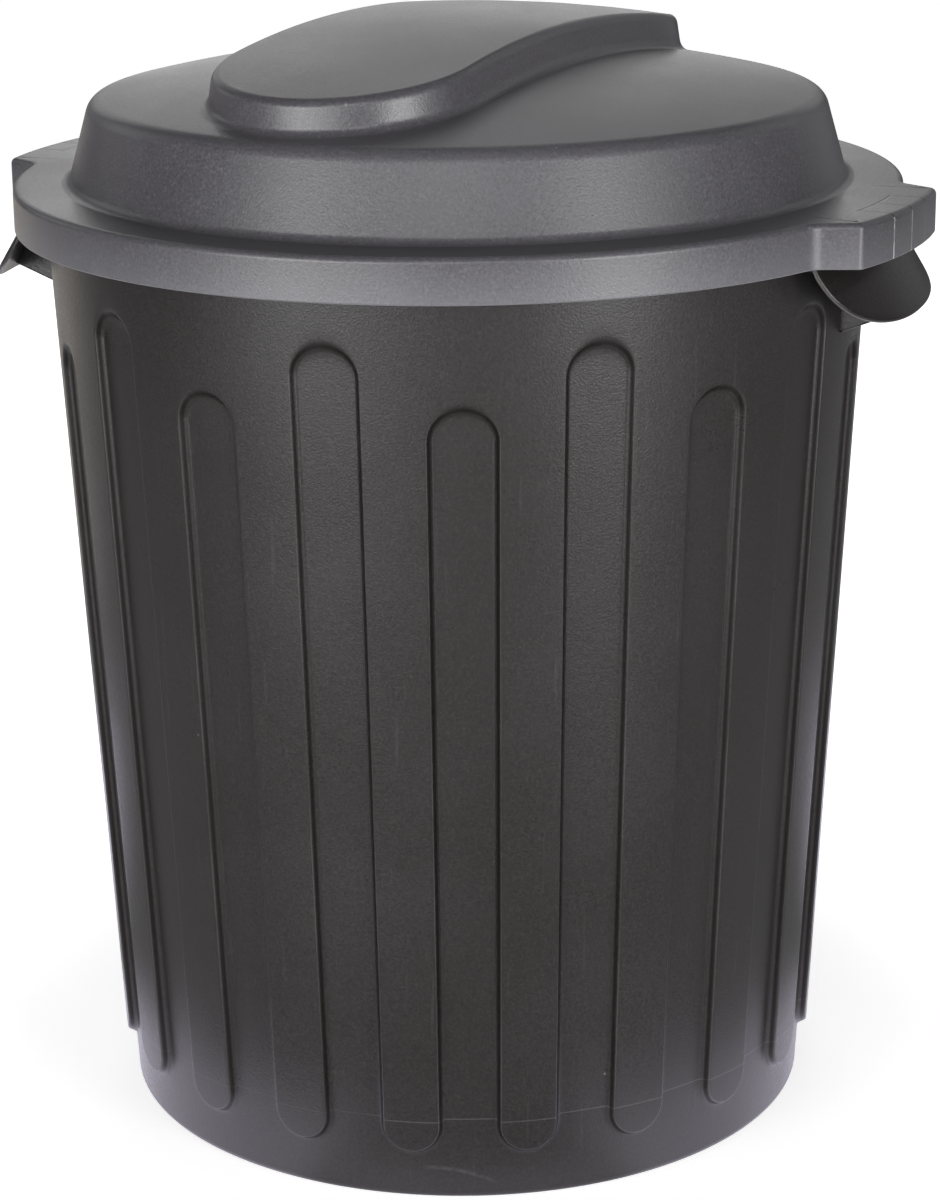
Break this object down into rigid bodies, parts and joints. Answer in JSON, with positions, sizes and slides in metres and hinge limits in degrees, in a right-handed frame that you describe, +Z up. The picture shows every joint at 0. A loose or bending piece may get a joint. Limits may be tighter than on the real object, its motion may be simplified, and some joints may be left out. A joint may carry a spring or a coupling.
{
  "type": "feed bin with lid",
  "caption": "Round fluted plastic feed bin, tapering to its foot, with flared scoop handles under the rim and a lift-off domed lid with a raised bar grip and lifting lugs.",
  "frame": {"origin": "on the ground at the middle of the foot", "axes": "+Z up along the bin's axis, X through the two handles, Y across them"},
  "size_m": [0.541, 0.5012, 0.6322],
  "materials": {
    "tub_plastic": "charcoal injection-moulded polypropylene, satin with a fine grain and light scuffs",
    "lid_plastic": "charcoal injection-moulded polypropylene, matt, lighter and dustier than the tub"
  },
  "bodies": {
    "tub_body": {"tub": "tub_plastic"},
    "lid_body": {"lid": "lid_plastic"}
  },
  "joints": [
    {"name": "lid_lift", "type": "slide", "parent": "tub_body", "child": "lid_body", "axis": [0, 0, 1], "range_m": [0, 0.3]}
  ]
}
